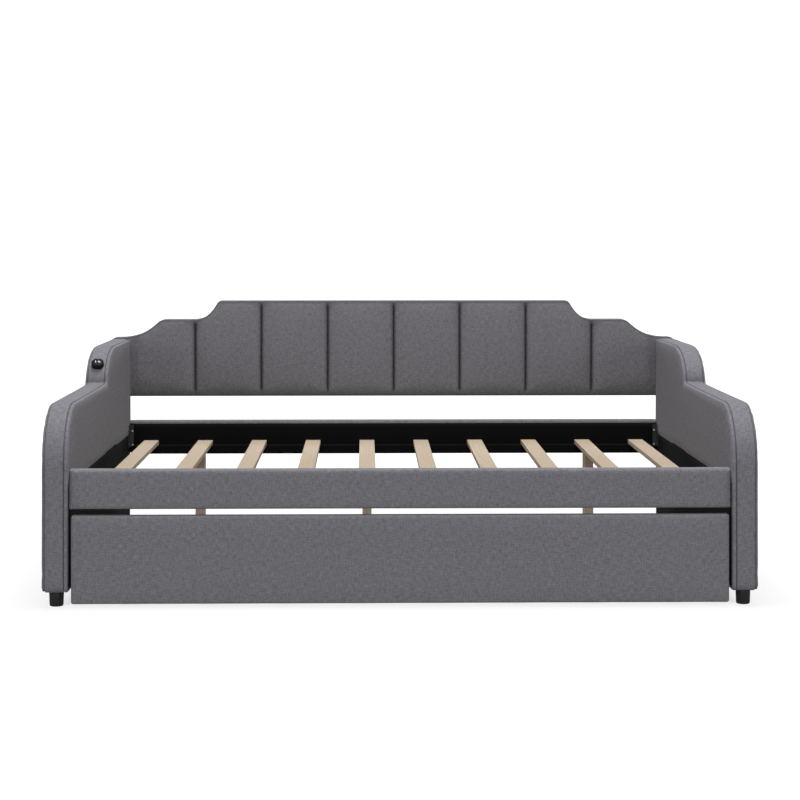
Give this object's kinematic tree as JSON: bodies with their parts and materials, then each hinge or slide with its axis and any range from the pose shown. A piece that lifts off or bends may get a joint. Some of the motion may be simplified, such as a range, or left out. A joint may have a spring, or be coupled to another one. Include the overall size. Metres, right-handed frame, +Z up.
{
  "type": "trundle daybed",
  "caption": "Upholstered daybed with stepped arms, a channel-tufted stepped backrest, wooden slats and a slatted trundle on wheels that rolls out from under the front.",
  "frame": {"origin": "on the floor at the middle of the overall width and depth", "axes": "+X along the bed towards the right arm seen from the front, +Y from the front to the backrest, +Z up"},
  "size_m": [2.08, 1.525, 0.834],
  "materials": {
    "upholstery": "mid grey plain linen weave over foam",
    "lining": "black non-woven lining over board",
    "pine": "planed, unfinished",
    "board": "plywood",
    "black_plastic": "satin black",
    "black_steel": "black powder coat",
    "zinc_steel": "bright zinc plate",
    "wheel_rubber": "moulded dark grey"
  },
  "bodies": {
    "daybed": {"left_arm": "upholstery", "right_arm": "upholstery", "left_arm_board": "board", "right_arm_board": "board", "backrest_pad": "upholstery", "backrest_board": "lining", "front_rail": "upholstery", "rear_rail": "upholstery", "front_ledger": "lining", "rear_ledger": "lining", "bracket_front_left": "black_steel", "bracket_front_right": "black_steel", "bracket_rear_left": "black_steel", "bracket_rear_right": "black_steel", "slat_01": "pine", "slat_02": "pine", "slat_03": "pine", "slat_04": "pine", "slat_05": "pine", "slat_06": "pine", "slat_07": "pine", "slat_08": "pine", "slat_09": "pine", "slat_10": "pine", "support_leg_1": "pine", "support_leg_2": "pine", "support_leg_3": "pine", "foot_front_left": "black_plastic", "foot_front_right": "black_plastic", "foot_rear_left": "black_plastic", "foot_rear_right": "black_plastic", "charger_housing": "black_plastic", "charger_port_left": "zinc_steel", "charger_port_right": "zinc_steel"},
    "trundle": {"trundle_front_panel": "upholstery", "trundle_left_beam": "pine", "trundle_right_beam": "pine", "trundle_rear_rail": "board", "trundle_front_ledger": "pine", "trundle_rear_ledger": "pine", "trundle_slat_1": "pine", "trundle_slat_2": "pine", "trundle_slat_3": "pine", "trundle_slat_4": "pine", "trundle_slat_5": "pine", "trundle_slat_6": "pine", "trundle_slat_7": "pine", "trundle_slat_8": "pine", "caster_fork_front_left": "zinc_steel", "caster_fork_front_right": "zinc_steel", "caster_fork_rear_left": "zinc_steel", "caster_fork_rear_right": "zinc_steel", "caster_axle_front_left": "zinc_steel", "caster_axle_front_right": "zinc_steel", "caster_axle_rear_left": "zinc_steel", "caster_axle_rear_right": "zinc_steel"},
    "wheel_front_left": {"caster_wheel_front_left": "wheel_rubber"},
    "wheel_front_right": {"caster_wheel_front_right": "wheel_rubber"},
    "wheel_rear_left": {"caster_wheel_rear_left": "wheel_rubber"},
    "wheel_rear_right": {"caster_wheel_rear_right": "wheel_rubber"}
  },
  "joints": [
    {"name": "trundle_slide", "type": "slide", "parent": "daybed", "child": "trundle", "axis": [0, -1, 0], "range_m": [0, 1.05]},
    {"name": "wheel_spin_front_left", "type": "hinge", "parent": "trundle", "child": "wheel_front_left", "pos_m": [-0.9275, -0.6505, 0.025], "axis": [1, 0, 0], "range_deg": [-5, 2420]},
    {"name": "wheel_spin_front_right", "type": "hinge", "parent": "trundle", "child": "wheel_front_right", "pos_m": [0.9275, -0.6505, 0.025], "axis": [1, 0, 0], "range_deg": [-5, 2420]},
    {"name": "wheel_spin_rear_left", "type": "hinge", "parent": "trundle", "child": "wheel_rear_left", "pos_m": [-0.9275, 0.2225, 0.025], "axis": [1, 0, 0], "range_deg": [-5, 2420]},
    {"name": "wheel_spin_rear_right", "type": "hinge", "parent": "trundle", "child": "wheel_rear_right", "pos_m": [0.9275, 0.2225, 0.025], "axis": [1, 0, 0], "range_deg": [-5, 2420]}
  ],
  "couplings": [
    {"joint": "wheel_spin_front_left", "follows": "trundle_slide", "rad_per_m": 40},
    {"joint": "wheel_spin_front_right", "follows": "trundle_slide", "rad_per_m": 40},
    {"joint": "wheel_spin_rear_left", "follows": "trundle_slide", "rad_per_m": 40},
    {"joint": "wheel_spin_rear_right", "follows": "trundle_slide", "rad_per_m": 40}
  ]
}
